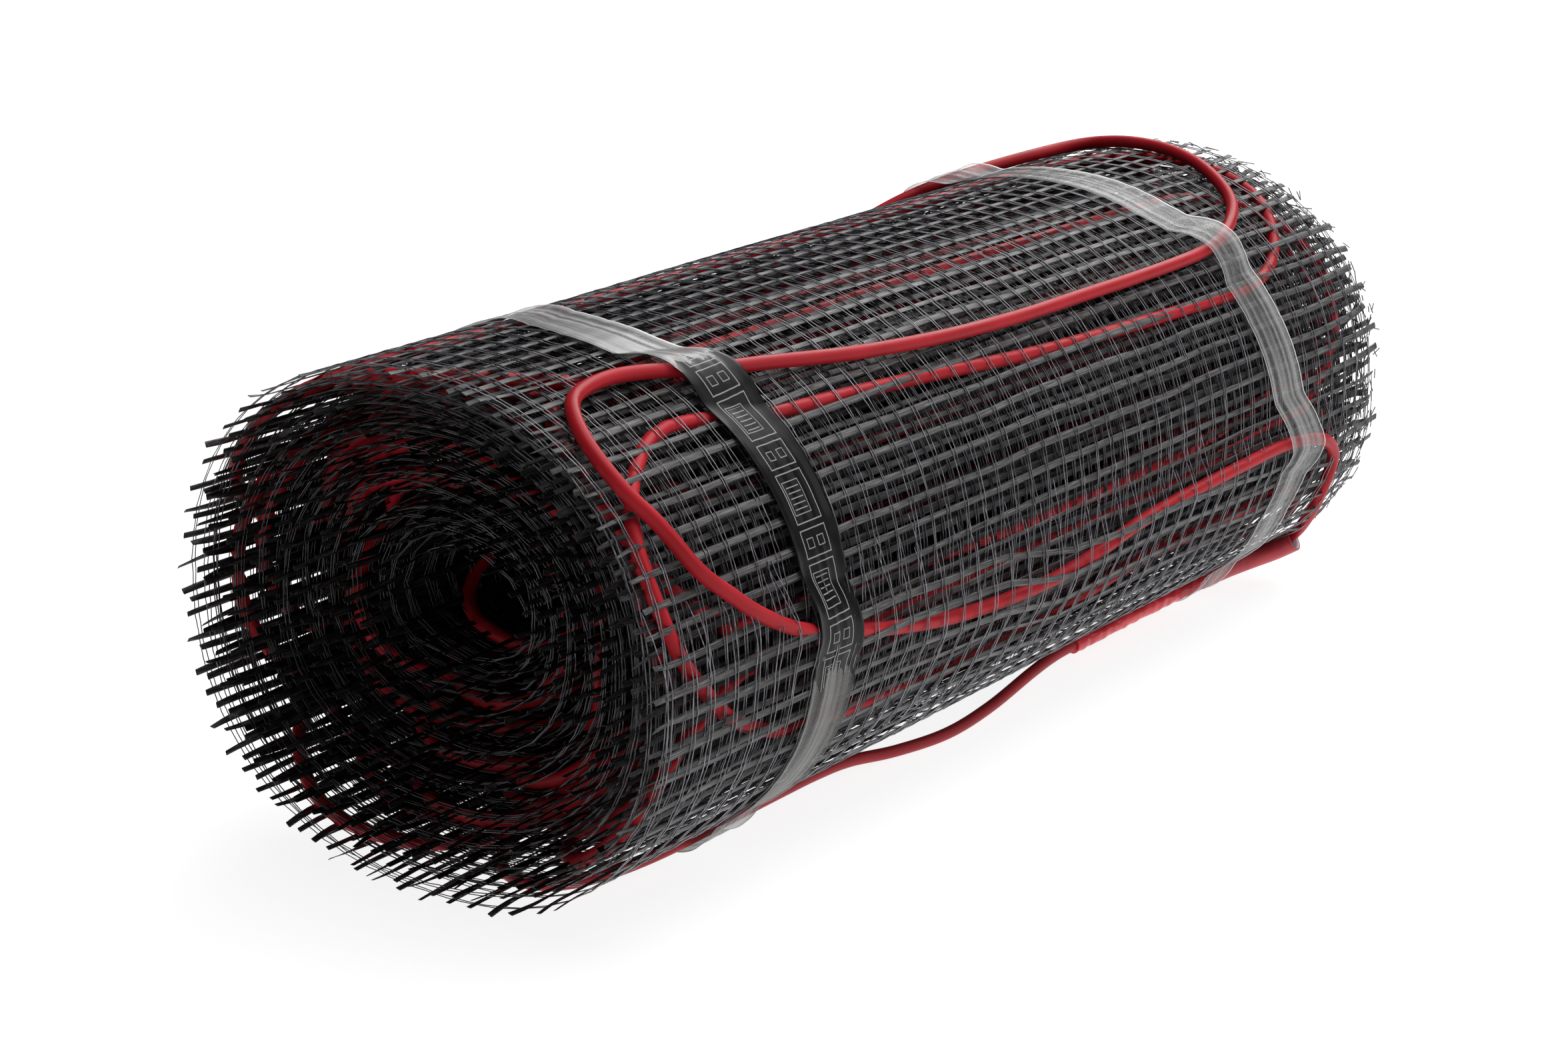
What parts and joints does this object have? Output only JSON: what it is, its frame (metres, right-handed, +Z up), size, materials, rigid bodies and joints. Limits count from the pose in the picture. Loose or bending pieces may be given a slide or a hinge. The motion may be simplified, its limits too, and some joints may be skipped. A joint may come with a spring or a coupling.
{
  "type": "underfloor heating mat",
  "caption": "Rolled-up heating mat: open mesh with heating cable wound in, and a cable loop, joint sleeves and cold lead held on it by clear tape bands.",
  "frame": {"origin": "middle of the bottom of the part's box, on the floor that the roll lies on", "axes": "+Y along the roll to its back end, +Z up, +X to the side that the cable loop lies on"},
  "size_m": [0.2136, 0.5, 0.1889],
  "materials": {
    "mesh": "charcoal coated glass-fibre mesh, satin rovings",
    "cable_sheath": "satin red cable sheath",
    "sleeve": "satin red sleeve with a pale inside",
    "shrink_sleeve": "crumpled crimson heat-shrink",
    "lead_sheath": "satin red sheath of the cold lead",
    "tape": "clear glossy adhesive tape with fine folds"
  },
  "bodies": {
    "root": {"mesh_roll": "mesh", "heating_cable": "cable_sheath", "joint_sleeve_mouth": "sleeve", "joint_sleeve_shrunk": "shrink_sleeve", "cold_lead": "lead_sheath", "tape_band_front": "tape", "tape_band_back": "tape"}
  },
  "joints": []
}
